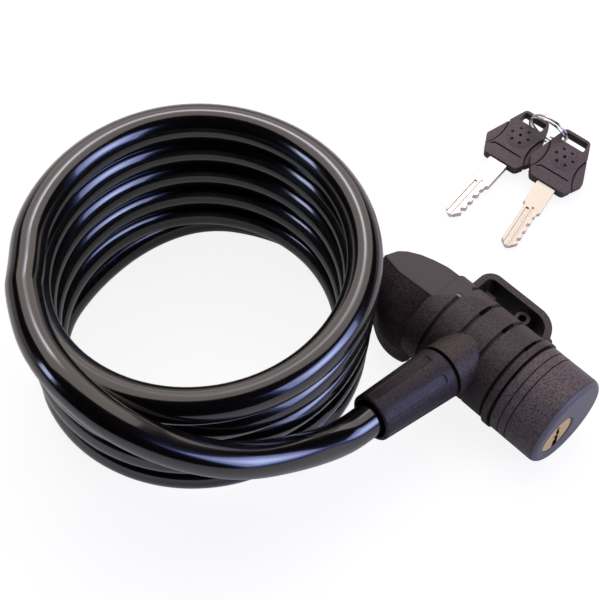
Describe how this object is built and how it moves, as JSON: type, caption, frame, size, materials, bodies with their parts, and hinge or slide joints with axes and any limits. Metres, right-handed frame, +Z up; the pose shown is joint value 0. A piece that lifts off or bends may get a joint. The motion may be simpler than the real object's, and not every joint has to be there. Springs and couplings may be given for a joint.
{
  "type": "keyed coil cable lock",
  "caption": "Self-coiling cable lock: keyed barrel with a side socket for the cable's plug, a coated steel coil fixed in its rear head, a strap loop, and two keys on a split ring.",
  "frame": {"origin": "on the table under the axis of the barrel, in the flat land it rests on", "axes": "+X along the barrel towards the key face, +Y towards the strap bracket on the back, +Z up"},
  "size_m": [0.1462, 0.2037, 0.0667],
  "materials": {
    "moulded_black": "fine grained black ABS",
    "cable_pvc": "glossy black PVC sheath",
    "boot_plastic": "satin black moulding",
    "rubber_black": "matt",
    "zinc_casting": "die-cast zinc alloy, bare",
    "steel_turned": "turned and hardened",
    "spring_steel": "drawn wire",
    "brass_turned": "fine turned brass",
    "nickel_silver": "milled nickel silver",
    "nickel_plate": "bright nickel plate",
    "key_plastic": "satin black moulding"
  },
  "bodies": {
    "lock": {"barrel_housing": "moulded_black", "rear_head": "moulded_black", "front_cap": "moulded_black", "trim_ring": "moulded_black", "lock_body": "zinc_casting", "chamber_cover": "steel_turned", "driver_pins": "brass_turned", "driver_springs": "spring_steel", "socket_bush": "steel_turned", "eject_spring": "spring_steel", "cable_front": "cable_pvc", "cable_coil": "cable_pvc", "cable_tail": "cable_pvc", "anchor_ferrule": "steel_turned", "anchor_rope": "spring_steel", "anchor_clip": "spring_steel", "anchor_gland": "rubber_black", "bracket_base": "moulded_black", "bracket_screws": "steel_turned", "bracket_strap": "moulded_black", "strap_pins": "steel_turned", "head_screws": "steel_turned"},
    "cylinder": {"key_cylinder": "brass_turned", "key_pins": "brass_turned", "cylinder_tail": "steel_turned", "tail_clip": "spring_steel"},
    "plug": {"locking_pin": "steel_turned", "plug_ferrule": "steel_turned", "plug_rope": "spring_steel", "plug_boot": "boot_plastic", "plug_seal": "rubber_black"},
    "keys": {"key_ring": "nickel_plate"},
    "key_1": {"key_1_bow": "key_plastic", "key_1_blade": "nickel_silver"},
    "key_2": {"key_2_bow": "key_plastic", "key_2_blade": "nickel_silver"}
  },
  "joints": [
    {"name": "key_cylinder_turn", "type": "hinge", "parent": "lock", "child": "cylinder", "pos_m": [0, -0.0043, 0.0138], "axis": [1, 0, 0], "range_deg": [0, 90]},
    {"name": "plug_slide", "type": "slide", "parent": "lock", "child": "plug", "axis": [-0.0691, -0.9879, 0.1392], "range_m": [0, 0.025], "deforming": ["cable_front"]},
    {"name": "keys_lift", "type": "slide", "parent": "lock", "child": "keys", "axis": [0, 0, 1], "range_m": [0, 0.03]},
    {"name": "key_1_swing", "type": "hinge", "parent": "keys", "child": "key_1", "pos_m": [-0.0594, 0.0859, 0.005], "axis": [0, 0, -1], "range_deg": [0, 12]},
    {"name": "key_2_swing", "type": "hinge", "parent": "keys", "child": "key_2", "pos_m": [-0.0477, 0.0876, 0.005], "axis": [0, 0, 1], "range_deg": [0, 12]}
  ]
}
